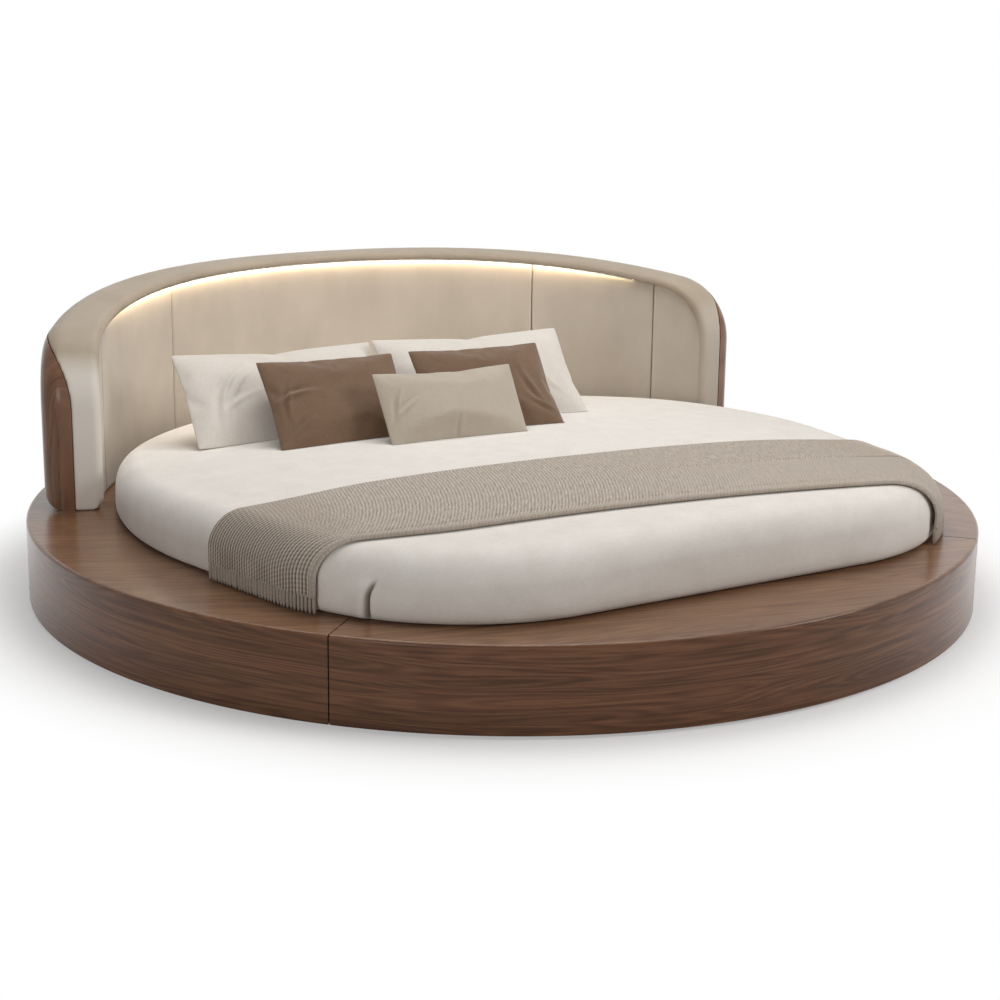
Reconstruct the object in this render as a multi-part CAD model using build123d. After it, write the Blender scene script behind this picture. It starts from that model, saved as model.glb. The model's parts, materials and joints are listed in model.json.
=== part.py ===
from build123d import *
from math import acos, atan2, cos, degrees, hypot, radians, sin, sqrt
import os

# Round platform bed with a curved upholstered headboard
# Lengths are in millimetres. The floor is z = 0, the foot faces -Y and the head faces +Y.
# Angles of the platform count from +X, and those of the headboard from its middle at +Y.

# Platform boards
platform_radius = 1400
deck_height = 235
board_thickness = 22
edge_round = 9
floor_gap = 9
seam_gap = 3.5
deck_width = 420
module_angle = 90
module_middles = {"front": -94, "right": -4, "rear": 86, "left": 176}

# Platform frame
riser_setback = 50
riser_thickness = 18
rib_thickness = 18
inner_rib_angles = (-22.5, 0, 22.5)
overrun = 60

# Module connectors
connector_shares = (0.25, 0.75)
bolt_shank_radius = 3
sleeve_radius = 5
flange_radius = 9
flange_thickness = 3
hole_clearance = 0.2

# Glides
glide_radius = 20
glide_stem_radius = 4
glide_stem_length = 24
glide_rib_angles = (-22.5, 22.5)
glide_inset = 45

# Slatted base
slat_count = 9
slat_width = 120
slat_end_setback = 160
slat_clearance = 2
rail_thickness = 40
rail_depth = 90
side_rail_setback = 420
cleat_length = 60
cleat_width = 80
cleat_depth = 40
leg_radius = 20
leg_foot_radius = 32
leg_foot_thickness = 8
leg_setback = 530

# Headboard form
head_setback = 50
head_depth = 170
head_height = 590
head_half_angle = 68.4
head_corner_radius = 215
head_arch_angle = 9.2
outer_softness = 60
inner_softness = 22

# Headboard parts
panel_recess = 16
panel_thickness = 26
core_thickness = 16
shell_thickness = 18
lip_thickness = 28
rim_end_width = 38
rim_inner_corner_radius = 185
wood_end_depth = 88
wood_end_fall = 90
wood_end_curve = 205
wood_top_drop = 32
wood_end_reach = 100
upholstery_gap = 1
panel_gap = 2
panel_names = (
    "panel_outer_right", "panel_inner_right", "panel_centre", "panel_inner_left", "panel_outer_left",
)
outer_panel_angle = 10.9
centre_panel_limits = (-36.5, 31.5)
inner_former_angle = 14
middle_former_angle = 34
outer_former_setback = 12.4
former_thickness = 24
head_bolt_radius = 4
head_bolt_length = 75
head_bolt_head_radius = 10
head_bolt_head_thickness = 5

# Strip light
light_end_setback = 14.4
channel_inset = 3
channel_width = 12
channel_depth = 7
channel_wall = 1
led_strip_thickness = 1.5
diffuser_thickness = 1.2
driver_width = 160
driver_depth = 38
driver_height = 62
driver_base = 80
inlet_width = 48
inlet_height = 30
inlet_flange = 3
inlet_body_width = 28
inlet_body_height = 20
inlet_body_length = 46
mains_lead_radius = 3.5
led_lead_radius = 2
led_lead_bend = 15
lead_clearance = 1.5

# Mattress
rest_gap = 0.3
mattress_head_gap = 25
mattress_taper = 89
mattress_foot_taper = 33
mattress_corner_radius = 620
mattress_thickness = 208
crown_fall = 82.6875
crown_foot_distance = 702
mattress_shoulder = 110
mattress_base_round = 40
cover_thickness = 25

# Throw
throw_thickness = 8
throw_foot_setback = 182
throw_near_skew = -7
throw_width = 532
throw_far_skew = -5
throw_hem_width = 24
throw_hem_thickness = 15

# Pillows: across, up, front bulge, back bulge, x of the middle, foot edge to the mattress's head, lean back
pillow_seam = 8
pillow_draw = 12
pillow_sink = 16
pillow_skew = -6
pillow_corner_share = 0.07
pillow_section_shares = (-1, -0.86, -0.5, 0, 0.5, 0.86, 1)
pillow_sizes = {
    "pillow_white_left": (650, 355, 60, 24, -518, 847, 47),
    "pillow_white_right": (650, 355, 60, 24, 103, 961, 47),
    "cushion_brown_left": (440, 320, 42, 22, -438, 1017, 44),
    "cushion_brown_right": (440, 320, 42, 22, 26, 1109, 44),
    "cushion_beige": (455, 250, 48, 16, -150, 1165, 38),
}

# Derived places
head_axis = 90
fascia_inner_radius = platform_radius - board_thickness
deck_inner_radius = platform_radius - deck_width
riser_radius = deck_inner_radius + riser_setback
riser_outer_radius = riser_radius + riser_thickness
board_underside = deck_height - board_thickness
module_span = module_angle - degrees(seam_gap / platform_radius)
rail_top = board_underside
slat_reach = deck_inner_radius - slat_end_setback
side_rail_offset = deck_inner_radius - side_rail_setback
leg_pitch = deck_inner_radius - leg_setback
head_outer_radius = platform_radius - head_setback
head_lip_radius = head_outer_radius - head_depth
head_top = deck_height + head_height
lip_underside = head_top - lip_thickness
panel_face_radius = head_lip_radius + panel_recess
core_inner_radius = panel_face_radius + panel_thickness
core_outer_radius = core_inner_radius + core_thickness
shell_inner_radius = head_outer_radius - shell_thickness
shell_foot_radius = head_outer_radius - outer_softness - shell_thickness
arch_reach = head_lip_radius * sin(radians(head_half_angle))
wood_edge_radius = head_outer_radius - wood_end_depth
wood_end_top = head_top - wood_end_fall
outer_seam_angle = head_half_angle - outer_panel_angle
panel_seam_angles = (-outer_seam_angle, *centre_panel_limits, outer_seam_angle)
former_angles = (inner_former_angle, middle_former_angle, head_half_angle - outer_former_setback)
light_half_angle = head_half_angle - light_end_setback
mattress_base = deck_height + rest_gap
mattress_top = mattress_base + mattress_thickness
mattress_head_radius = head_lip_radius - mattress_head_gap
mattress_foot_half_width = mattress_head_radius - mattress_taper
mattress_foot = mattress_head_radius - mattress_foot_taper
crown_middle_y = crown_foot_distance - mattress_foot
crown_reach = mattress_head_radius - crown_middle_y
crown_radius = crown_reach ** 2 / (2 * crown_fall)
throw_near_y = throw_foot_setback - mattress_foot
throw_far_y = throw_near_y + throw_width


# Common shapes

def ring(r_in, r_out, z_low, z_high, middle, span):
    section = Pos((r_in + r_out) / 2, (z_low + z_high) / 2) * Rectangle(r_out - r_in, z_high - z_low)
    return profile_ring(Plane.XZ * section, middle, span)


def profile_ring(profile, middle, span):
    return Rot(Z=middle - span / 2) * revolve(profile, Axis.Z, revolution_arc=span)


def block(x_low, x_high, y_low, y_high, z_low, z_high):
    size = Box(x_high - x_low, y_high - y_low, z_high - z_low)
    return Pos((x_low + x_high) / 2, (y_low + y_high) / 2, (z_low + z_high) / 2) * size


def drum(radius, z_low, z_high):
    return Pos(0, 0, (z_low + z_high) / 2) * Cylinder(radius, z_high - z_low)


def mirrored(shape):
    return [shape, mirror(shape, Plane.YZ)]


# Platform modules

def mitre_points():
    set_back = edge_round * (1 - cos(radians(45)))
    corner = (platform_radius - set_back, deck_height - set_back)
    inside = (fascia_inner_radius, board_underside)
    return corner, inside


def deck_profile():
    corner, inside = mitre_points()
    edge = (platform_radius - edge_round, deck_height)
    arc = TangentArc(edge, corner, tangent=(1, 0))
    inner_low = (deck_inner_radius, board_underside)
    rest = Polyline(corner, inside, inner_low, (deck_inner_radius, deck_height), edge)
    return Plane.XZ * make_face(Curve() + [arc, rest])


def fascia_profile():
    corner, inside = mitre_points()
    edge = (platform_radius, deck_height - edge_round)
    arc = TangentArc(edge, corner, tangent=(0, 1))
    rest = Polyline(corner, inside, (fascia_inner_radius, floor_gap), (platform_radius, floor_gap), edge)
    return Plane.XZ * make_face(Curve() + [arc, rest])


def rib(angle, side_shift=0):
    board = block(
        riser_radius, platform_radius,
        side_shift - rib_thickness / 2, side_shift + rib_thickness / 2,
        floor_gap, board_underside,
    )
    between = drum(fascia_inner_radius, 0, deck_height) - drum(riser_outer_radius, 0, deck_height)
    return Rot(Z=angle) * (board & between)


def seam_angles():
    return [middle + module_angle / 2 for middle in module_middles.values()]


def connector_places():
    rib_length = fascia_inner_radius - riser_outer_radius
    height = (floor_gap + board_underside) / 2
    return [
        Rot(Z=angle) * Pos(riser_outer_radius + share * rib_length, 0, height) * Rot(X=90)
        for angle in seam_angles() for share in connector_shares
    ]


def connector_holes():
    reach = seam_gap + 2 * rib_thickness + overrun
    return [place * Cylinder(sleeve_radius + hole_clearance, reach) for place in connector_places()]


def connector_bolt(place):
    grip = seam_gap / 2 + rib_thickness
    head = Pos(0, 0, grip + flange_thickness / 2) * Cylinder(flange_radius, flange_thickness)
    shank = drum(bolt_shank_radius, -grip, grip)
    return place * (head + shank)


def connector_nut(place):
    grip = seam_gap / 2 + rib_thickness
    flange = Pos(0, 0, -grip - flange_thickness / 2) * Cylinder(flange_radius, flange_thickness)
    sleeve = drum(sleeve_radius, -grip, seam_gap / 2)
    bore = drum(bolt_shank_radius, -grip, seam_gap)
    return place * (flange + sleeve - bore)


def glide_places():
    radii = (riser_outer_radius + glide_inset, fascia_inner_radius - glide_inset)
    return [
        Rot(Z=middle + angle) * Pos(radius, 0, 0)
        for middle in module_middles.values() for angle in glide_rib_angles for radius in radii
    ]


def glide(place):
    foot = drum(glide_radius, 0, floor_gap)
    stem = drum(glide_stem_radius, 0, floor_gap + glide_stem_length)
    return place * (foot + stem)


def glide_hole(place):
    return place * drum(glide_stem_radius + hole_clearance, 0, floor_gap + glide_stem_length + hole_clearance)


def module_ribs(middle):
    shift = seam_gap / 2 + rib_thickness / 2
    inner = [rib(middle + angle) for angle in inner_rib_angles]
    ends = [
        rib(middle - module_angle / 2, shift),
        rib(middle + module_angle / 2, -shift),
    ]
    cutters = connector_holes() + [glide_hole(place) for place in glide_places()]
    return [board - cutters for board in inner + ends]


# Slatted base

def slats():
    reach = deck_inner_radius - slat_clearance
    pitch = 2 * slat_reach / (slat_count - 1)
    boards = {}
    for index in range(slat_count):
        y = index * pitch - slat_reach
        half = sqrt(reach ** 2 - (abs(y) + slat_width / 2) ** 2)
        board = block(-half, half, y - slat_width / 2, y + slat_width / 2, rail_top, deck_height)
        boards[f"slat_{index + 1:02d}"] = board
    return boards


def rail(x):
    board = block(
        x - rail_thickness / 2, x + rail_thickness / 2,
        -riser_radius, riser_radius,
        rail_top - rail_depth, rail_top,
    )
    return board & drum(riser_radius, 0, deck_height)


def rail_cleats():
    low = rail_top - rail_depth - cleat_depth
    cleats = []
    for x in (-side_rail_offset, 0, side_rail_offset):
        end = sqrt(riser_radius ** 2 - x ** 2)
        board = block(
            x - cleat_width / 2, x + cleat_width / 2,
            end - cleat_length, riser_radius,
            low, low + cleat_depth,
        )
        cleat = board & drum(riser_radius, 0, deck_height)
        cleats += [cleat, mirror(cleat, Plane.XZ)]
    return cleats


def support_legs():
    tube = drum(leg_radius, 0, rail_top - rail_depth)
    foot = drum(leg_foot_radius, 0, leg_foot_thickness)
    return [
        Pos(x, row * leg_pitch, 0) * (tube + foot)
        for x in (-side_rail_offset, 0, side_rail_offset) for row in (-1, 0, 1)
    ]


# Headboard

def arch_cutter(end_inset, top, corner_radius):
    """What lies above the headboard's arch line, and beyond it at the end nearer +X."""
    slope = radians(head_arch_angle)
    turn = end_inset + corner_radius * (1 - sin(slope))
    arch_radius = (arch_reach - turn) / sin(slope)
    turn_height = top - arch_radius * (1 - cos(slope))
    side_height = turn_height - corner_radius * cos(slope)
    corner = TangentArc((end_inset, side_height), (turn, turn_height), tangent=(0, 1))
    arch = RadiusArc((turn, turn_height), (arch_reach, top), arch_radius)
    far = 3 * head_outer_radius
    low = min(-overrun, end_inset - overrun)
    rest = Polyline(
        (arch_reach, top), (far, top), (far, top + 2 * overrun), (low, top + 2 * overrun),
        (low, 0), (end_inset, 0), (end_inset, side_height),
    )
    prism = extrude(Plane.YZ * make_face(Curve() + [corner, arch, rest]), 2 * head_outer_radius)
    cutter = Rot(Z=head_axis - head_half_angle) * prism
    return mirrored(cutter)


def arch_sector(r_in, r_out, end_inset, top_inset, corner_radius):
    """Part of the curved headboard between two radii, under its arch line less the insets."""
    top = head_top - top_inset
    sector = ring(r_in, r_out, deck_height, top + overrun, head_axis, 2 * head_half_angle)
    return sector - arch_cutter(end_inset, top, corner_radius)


def head_form():
    """The whole headboard as one soft-edged form, which its parts share out."""
    form = arch_sector(head_lip_radius, head_outer_radius, 0, 0, head_corner_radius)
    for radius, softness in ((head_outer_radius, outer_softness), (head_lip_radius, inner_softness)):
        faces = [
            face for face in form.faces().filter_by(GeomType.CYLINDER)
            if abs(face.radius - radius) < hole_clearance and abs(face.axis_of_rotation.direction.Z) > 0.5
        ]
        form = fillet(faces[0].edges(), softness)
    return form


def wood_region(gap):
    """Everything outside the line where the walnut meets the upholstery, drawn back by gap."""
    low = deck_height
    straight = wood_end_top - wood_end_curve
    edge = wood_edge_radius + gap
    top = (head_outer_radius, wood_end_top - gap)
    arc = TangentArc((edge, straight), top, tangent=(0, 1))
    rest = Polyline(
        top, (top[0] + overrun, top[1]), (top[0] + overrun, low), (edge, low), (edge, straight),
    )
    ends = profile_ring(
        Plane.XZ * make_face(Curve() + [arc, rest]), head_axis, 2 * head_half_angle,
    )
    back = arch_sector(
        edge, head_outer_radius + overrun, rim_end_width + gap, wood_top_drop + gap, rim_inner_corner_radius,
    )
    return ends, back


def inner_region(r_in, r_out, inset=0):
    """The space inside the padded rim, between two radii."""
    return arch_sector(r_in, r_out, rim_end_width, lip_thickness + inset, rim_inner_corner_radius)


def cavity(r_in):
    """The hollow of the headboard outside a radius, clear of the shell and its foot."""
    foot = ring(
        shell_foot_radius, shell_inner_radius + overrun, 0, deck_height + outer_softness,
        head_axis, 2 * head_half_angle,
    )
    return inner_region(r_in, shell_inner_radius) - foot


def walnut(gap):
    """The walnut share of the headboard's form."""
    ends, back = wood_region(gap)
    limit = arch_sector(
        wood_edge_radius + gap, head_outer_radius + overrun, -wood_end_reach, wood_top_drop + gap,
        head_corner_radius,
    )
    return ends, back, limit


def headboard_shell(form):
    ends, back, limit = walnut(0)
    region = (ends & limit) + back
    return (form & region) - cavity(wood_edge_radius - overrun) - head_bolt_holes() - inlet_hole()


def rim_bumper(form):
    ends, back, limit = walnut(-upholstery_gap)
    opening = inner_region(head_lip_radius - overrun, head_outer_radius + overrun)
    return form - ((ends & limit) + back) - opening - channel_space() - lead_groove()


def headboard_panels():
    """Upholstered panels between the seams, from right to left."""
    pad = inner_region(panel_face_radius, core_inner_radius)
    gap = degrees(panel_gap / panel_face_radius)
    limits = (-head_half_angle, *panel_seam_angles, head_half_angle)
    panels = {}
    for name, low, high in zip(panel_names, limits, limits[1:]):
        wedge = ring(
            panel_face_radius - overrun, core_inner_radius + overrun, 0, head_top,
            head_axis + (low + high) / 2, high - low - gap,
        )
        panels[name] = pad & wedge
    panels["panel_centre"] -= lead_notch()
    return panels


def former_places():
    return [head_axis + side * angle for angle in former_angles for side in (-1, 1)]


def headboard_formers():
    board = block(
        core_inner_radius, head_outer_radius, -former_thickness / 2, former_thickness / 2,
        deck_height, head_top,
    )
    hollow = cavity(core_outer_radius)
    return [(Rot(Z=angle) * board) & hollow - head_bolt_holes() for angle in former_places()]


def head_bolt_places():
    radius = (core_outer_radius + shell_foot_radius) / 2
    return [Rot(Z=angle) * Pos(radius, 0, board_underside) for angle in former_places()]


def head_bolt_holes():
    hole = drum(head_bolt_radius + hole_clearance, 0, head_bolt_length + hole_clearance)
    return [place * hole for place in head_bolt_places()]


def headboard_bolts():
    head = drum(head_bolt_head_radius, -head_bolt_head_thickness, 0)
    shank = drum(head_bolt_radius, 0, head_bolt_length)
    return [place * (head + shank) for place in head_bolt_places()]


# Strip light

def light_ring(side_wall, depth_low, depth_high):
    """A length of the strip light between two depths above the rim's underside."""
    r_in = head_lip_radius + channel_inset + side_wall
    r_out = head_lip_radius + channel_inset + channel_width - side_wall
    span = ring(r_in, r_out, deck_height, head_top, head_axis, 2 * light_half_angle)
    raised = inner_region(r_in - overrun, r_out + overrun, -depth_high)
    lowered = inner_region(r_in - overrun, r_out + overrun, -depth_low)
    return span & (raised - lowered)


def channel_space():
    return light_ring(0, 0, channel_depth)


def strip_light():
    bed = channel_depth - channel_wall
    return {
        "led_channel": light_ring(0, 0, channel_depth) - light_ring(channel_wall, 0, bed),
        "led_strip": light_ring(channel_wall, bed - led_strip_thickness, bed),
        "led_diffuser": light_ring(channel_wall, 0, diffuser_thickness),
    }


def led_driver():
    case = block(
        -driver_width / 2, driver_width / 2, core_inner_radius, core_outer_radius + driver_depth,
        deck_height + driver_base, deck_height + driver_base + driver_height,
    )
    return case - drum(core_outer_radius, 0, head_top)


def inlet_height_above_floor():
    return deck_height + driver_base + driver_height / 2


def inlet_hole():
    z = inlet_height_above_floor()
    half_width = inlet_body_width / 2 + hole_clearance
    half_height = inlet_body_height / 2 + hole_clearance
    return block(
        -half_width, half_width, shell_inner_radius - overrun, head_outer_radius + overrun,
        z - half_height, z + half_height,
    )


def power_inlet():
    z = inlet_height_above_floor()
    back = head_outer_radius + inlet_flange
    flange = block(
        -inlet_width / 2, inlet_width / 2, head_outer_radius - overrun, back,
        z - inlet_height / 2, z + inlet_height / 2,
    ) - drum(head_outer_radius, 0, head_top)
    body = block(
        -inlet_body_width / 2, inlet_body_width / 2, back - inlet_body_length, back,
        z - inlet_body_height / 2, z + inlet_body_height / 2,
    )
    socket = block(
        -inlet_body_width / 4, inlet_body_width / 4, back - inlet_body_length / 2, back + overrun,
        z - inlet_body_height / 4, z + inlet_body_height / 4,
    )
    return flange + body - socket


def mains_lead():
    start = core_outer_radius + driver_depth
    end = head_outer_radius + inlet_flange - inlet_body_length
    run = Cylinder(mains_lead_radius, end - start)
    return Pos(0, (start + end) / 2, inlet_height_above_floor()) * Rot(X=90) * run


def lead_points():
    y = core_outer_radius + driver_depth / 2
    x = driver_width / 4
    low = deck_height + driver_base + driver_height
    high = lip_underside + channel_depth / 2
    channel_back = sqrt((head_lip_radius + channel_inset + channel_width) ** 2 - x ** 2)
    end = channel_back + rest_gap
    return (x, y, low), (x, y, high), (x, end, high)


def led_lead():
    path = FilletPolyline(*lead_points(), radius=led_lead_bend)
    section = Plane(path @ 0, z_dir=path % 0) * Circle(led_lead_radius)
    return sweep(section, path)


def lead_groove():
    start, bend, end = lead_points()
    half = led_lead_radius + lead_clearance
    return block(
        bend[0] - half, bend[0] + half, end[1] - channel_inset, bend[1] + half,
        lip_underside - channel_depth, bend[2] + half,
    )


def lead_notch():
    start, bend, end = lead_points()
    half = led_lead_radius + lead_clearance
    return block(
        bend[0] - half, bend[0] + half, panel_face_radius - overrun, bend[1],
        bend[2] - half, lip_underside + overrun,
    )


# Bedding

def crown_drop(distance, grow=0):
    radius = crown_radius + grow
    return radius - sqrt(radius ** 2 - distance ** 2)


def dome(grow):
    """Everything below the mattress's crowned top, raised by grow."""
    radius = crown_radius + grow
    return Pos(0, crown_middle_y, mattress_top + grow - radius) * Rot(X=90) * Sphere(radius)


def mattress_plan(grow):
    """A round head end, straight flared sides and a rounded square foot."""
    head = mattress_head_radius + grow
    corner = mattress_corner_radius + grow
    middle = Vector(
        mattress_foot_half_width - mattress_corner_radius,
        mattress_corner_radius - mattress_foot,
    )
    lean = atan2(middle.Y, middle.X) + acos((head - corner) / middle.length)
    outward = Vector(cos(lean), sin(lean))
    side_top = outward * head
    side_low = middle + outward * corner
    foot = middle.Y - corner
    right = Curve() + [
        CenterArc((0, 0), head, degrees(lean), 90 - degrees(lean)),
        Line(side_top, side_low),
        CenterArc(middle, corner, -90, 90 + degrees(lean)),
        Line((0, foot), (middle.X, foot)),
    ]
    return make_face(right + mirror(right, Plane.YZ))


def mattress_form(grow, base_round):
    prism = extrude(mattress_plan(grow), mattress_thickness + 2 * abs(grow) + overrun)
    form = Pos(0, 0, mattress_base) * prism & dome(grow)
    top_face = form.faces().sort_by(Axis.Z)[-1]
    form = fillet(top_face.edges(), mattress_shoulder + grow)
    if base_round > 0:
        form = fillet(form.faces().sort_by(Axis.Z)[0].edges(), base_round)
    return form


def throw_band(width):
    """The space over the bed from the throw's near edge to a line this far towards the head."""
    reach = 2 * platform_radius
    near = Pos(0, throw_near_y, 0) * Rot(Z=throw_near_skew) * block(-reach, reach, 0, width, 0, head_top)
    far = Pos(0, throw_far_y, 0) * Rot(Z=throw_far_skew) * block(-reach, reach, -reach, 0, 0, head_top)
    return near & far


def throw_blanket():
    inside = mattress_form(rest_gap, 0)
    cloth = (mattress_form(rest_gap + throw_thickness, 0) - inside) & throw_band(platform_radius)
    hem = (mattress_form(rest_gap + throw_hem_thickness, 0) - inside) & throw_band(throw_hem_width)
    return cloth + hem


def pillow_section(share, width, height, front, back):
    swell = pillow_corner_share + (1 - pillow_corner_share) * (1 - share ** 2) ** 0.75
    half = height / 2 - pillow_draw * (1 - share ** 2)
    seam = pillow_seam / 2
    outline = Curve() + [
        ThreePointArc((-seam, half), (-seam - front * swell, 0), (-seam, -half)),
        Line((-seam, -half), (seam, -half)),
        ThreePointArc((seam, -half), (seam + back * swell, 0), (seam, half)),
        Line((seam, half), (-seam, half)),
    ]
    return Pos(share * width / 2, 0, 0) * (Plane.YZ * make_face(outline))


def side_draw_cutter(width, height):
    radius = (height ** 2 / 4 + pillow_draw ** 2) / (2 * pillow_draw)
    return Pos(width / 2 - pillow_draw + radius, 0, 0) * Rot(X=90) * Cylinder(radius, width)


def pillow(width, height, front, back, x, from_head, lean):
    y = mattress_head_radius - from_head
    sections = [pillow_section(share, width, height, front, back) for share in pillow_section_shares]
    pad = loft(sections)
    pad -= mirrored(side_draw_cutter(width, height))
    rest = mattress_top - crown_drop(hypot(x, y - crown_middle_y)) - pillow_sink
    foot = Pos(x, y, rest) * Rot(Z=pillow_skew) * Rot(X=-lean)
    return foot * Pos(0, 0, height / 2) * pad - dome(rest_gap)


# Assembly

def frame_parts():
    parts = {}
    for name, middle in module_middles.items():
        parts[f"deck_{name}"] = profile_ring(deck_profile(), middle, module_span) - head_bolt_holes()
        parts[f"fascia_{name}"] = profile_ring(fascia_profile(), middle, module_span)
        parts[f"riser_{name}"] = ring(
            riser_radius, riser_outer_radius, floor_gap, board_underside, middle, module_span,
        )
        parts[f"ribs_{name}"] = module_ribs(middle)
    parts["connector_bolts"] = [connector_bolt(place) for place in connector_places()]
    parts["connector_nuts"] = [connector_nut(place) for place in connector_places()]
    parts["glides"] = [glide(place) for place in glide_places()]
    parts["centre_beam"] = rail(0)
    parts["side_rail_left"] = rail(-side_rail_offset)
    parts["side_rail_right"] = rail(side_rail_offset)
    parts["rail_cleats"] = rail_cleats()
    parts["support_legs"] = support_legs()
    parts.update(slats())
    return parts


def headboard_parts():
    form = head_form()
    parts = {
        "headboard_shell": headboard_shell(form),
        "headboard_core": inner_region(core_inner_radius, core_outer_radius) - lead_notch(),
        "headboard_formers": headboard_formers(),
        "headboard_bolts": headboard_bolts(),
        "rim_bumper": rim_bumper(form),
        "led_driver": led_driver(),
        "led_lead": led_lead(),
        "mains_lead": mains_lead(),
        "power_inlet": power_inlet(),
    }
    parts.update(headboard_panels())
    parts.update(strip_light())
    return parts


def bedding_parts():
    core = mattress_form(-cover_thickness, mattress_base_round)
    parts = {
        "mattress_core": core,
        "mattress_cover": mattress_form(0, mattress_base_round) - core,
        "throw_blanket": throw_blanket(),
    }
    for name, sizes in pillow_sizes.items():
        parts[name] = pillow(*sizes)
    return parts


def write(name, shape):
    solids = []
    for item in shape if isinstance(shape, list) else [shape]:
        solids += item.solids()
    node = solids[0] if len(solids) == 1 else Compound(children=solids)
    node.label = name
    export_step(node, f"parts/{name}.step")


os.makedirs("parts", exist_ok=True)
for maker in (frame_parts, headboard_parts, bedding_parts):
    for name, shape in maker().items():
        write(name, shape)
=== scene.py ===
import json
import math

import bmesh
import bpy
import numpy as np
from mathutils import Matrix, Vector, noise


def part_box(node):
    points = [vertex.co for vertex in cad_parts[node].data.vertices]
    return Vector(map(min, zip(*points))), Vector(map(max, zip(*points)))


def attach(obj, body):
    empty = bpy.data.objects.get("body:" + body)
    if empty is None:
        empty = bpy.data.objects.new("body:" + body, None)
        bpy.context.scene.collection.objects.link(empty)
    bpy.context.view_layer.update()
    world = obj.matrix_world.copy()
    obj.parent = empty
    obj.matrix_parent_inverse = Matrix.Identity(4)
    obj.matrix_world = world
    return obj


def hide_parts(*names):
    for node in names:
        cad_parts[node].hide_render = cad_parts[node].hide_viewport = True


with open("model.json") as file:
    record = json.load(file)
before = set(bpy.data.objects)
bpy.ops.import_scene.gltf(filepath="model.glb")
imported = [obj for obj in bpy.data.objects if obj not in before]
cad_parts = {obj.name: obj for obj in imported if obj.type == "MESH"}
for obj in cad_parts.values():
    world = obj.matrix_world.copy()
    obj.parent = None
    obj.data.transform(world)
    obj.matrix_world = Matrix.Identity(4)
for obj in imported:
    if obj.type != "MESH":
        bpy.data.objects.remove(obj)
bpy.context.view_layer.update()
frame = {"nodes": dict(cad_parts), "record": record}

# Round platform bed with a curved upholstered headboard: finishes and soft goods
# Lengths are in metres, in the frame of the solids: floor at z = 0, foot towards -Y, head towards +Y

# Sizes read from the frame
DECK_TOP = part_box("deck_front")[1].z
PLATFORM_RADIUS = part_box("fascia_right")[1].x
COVER_LOW, COVER_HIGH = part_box("mattress_cover")

# Room left between soft pieces and what they rest on
CONTACT_GAP = 0.0006

# Headboard: its radii, and the angles from its middle between which its light fades
LIP_RADIUS = 1.18
PANEL_RADIUS = 1.196
PANEL_VOXEL = 0.005
PANEL_PASSES = 3
RIM_VOXEL = 0.0045
RIM_PASSES = 8
RIM_FOOT_ROUND = 0.032
LIGHT_FADE = (math.radians(38), math.radians(57))

# Mattress
HEAD_RADIUS = COVER_HIGH.x
FOOT_Y = COVER_LOW.y
FOOT_HALF_WIDTH = 1.066
FOOT_CORNER = 0.62
SLAT_GAP = 0.0003
MATTRESS_HEIGHT = 0.208
TOP_Z = DECK_TOP + SLAT_GAP + MATTRESS_HEIGHT
CROWN_RADIUS = 15.0
CROWN_MIDDLE_Y = -0.42
SHOULDER = 0.085
HEAD_SHOULDER = 0.080
FAR_SHOULDER = 0.160
SHOULDER_FADE = (-0.1, 0.7)
FAR_START_DEGREES = (-62, -25)
FAR_END_DEGREES = (48, 82)
FAR_FALL = 0.014
FAR_FADE = (0.08, 0.62)
RIGHT_FALL = 0.010
RIGHT_FADE = (0.55, 1.10)
RIGHT_WAY = (0.85, 0.53)
HEAD_FALL = 0.016
HEAD_FADE = (0.38, 0.95)
BASE_ROUND = 0.040
LEAST_SIDE = 0.010
CORE_INSET = 0.025
BROAD_SWELL = 0.0046
FINE_SWELL = 0.0026
SIDE_DRAW = 0.0072
TOP_SWELL = 0.0016
SIDE_FADE = (0.236, 0.27)
SWELL_ROWS = (26, 42)
TOP_RINGS, SHOULDER_RINGS, SIDE_RINGS, BASE_RINGS = 26, 22, 7, 10

# Spacing of points around the mattress; the cover's is given by the distance from its tuck
PLAN_STEP = 0.01
CORE_STEP = 0.03
COVER_STEPS = ((0.045, 0.0018), (0.12, 0.005), (math.inf, 0.013))

# Throw
THROW_NEAR_Y = -0.940
THROW_NEAR_SKEW = math.radians(-7)
THROW_FAR_Y = -0.408
THROW_FAR_SKEW = math.radians(-5)
THROW_REST = 0.0012
THROW_THICKNESS = 0.0060
HEM_WIDTH = 0.022
HEM_THICKNESS = 0.0135
THROW_NEAR_GATHER = 0.050
THROW_FAR_GATHER = -0.042
GATHER_FADE = (-1.02, -0.62)
HANG_FADE = (0.70, 1.02)
BAND_SMOOTH = 0.55
BAND_FAR_EDGE = 0.29
HEM_SMOOTH = 0.70
HEM_UNDER_SHARE = 0.47
FAR_EDGE_ROUND = 0.004
NEAR_GROOVE, NEAR_GROOVE_WIDTH = 0.062, 0.004
FAR_GROOVE, FAR_GROOVE_WIDTH = 0.295, 0.005
GROOVE_DEPTH = 0.0028
CALM_RISE = 0.0012
THROW_RIPPLE = 0.0014
THROW_LEAST = 0.0008
THROW_POINTS = 300
SIDE_POINTS = 40
ROUGH_REACH = 1.3
END_BAND = 0.05
END_OVERRUN = 0.011
END_STEP = 0.0004
MIDDLE_STEP = 0.005
RIB_PITCH = 0.0133
RIB_HEIGHT = 0.0030
FRINGE_LENGTH = 0.044
FRINGE_PITCH = 0.0125
FRINGE_RADIUS = 0.0048
FRINGE_SIDES = 8
FRINGE_STEPS = 7
FRINGE_ROOT = 0.004
FRINGE_SWAY = 0.0035
FRINGE_SHORTER = 0.0025
FRINGE_UNEVEN = 0.004
FRINGE_CLEAR = 0.001

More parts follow.
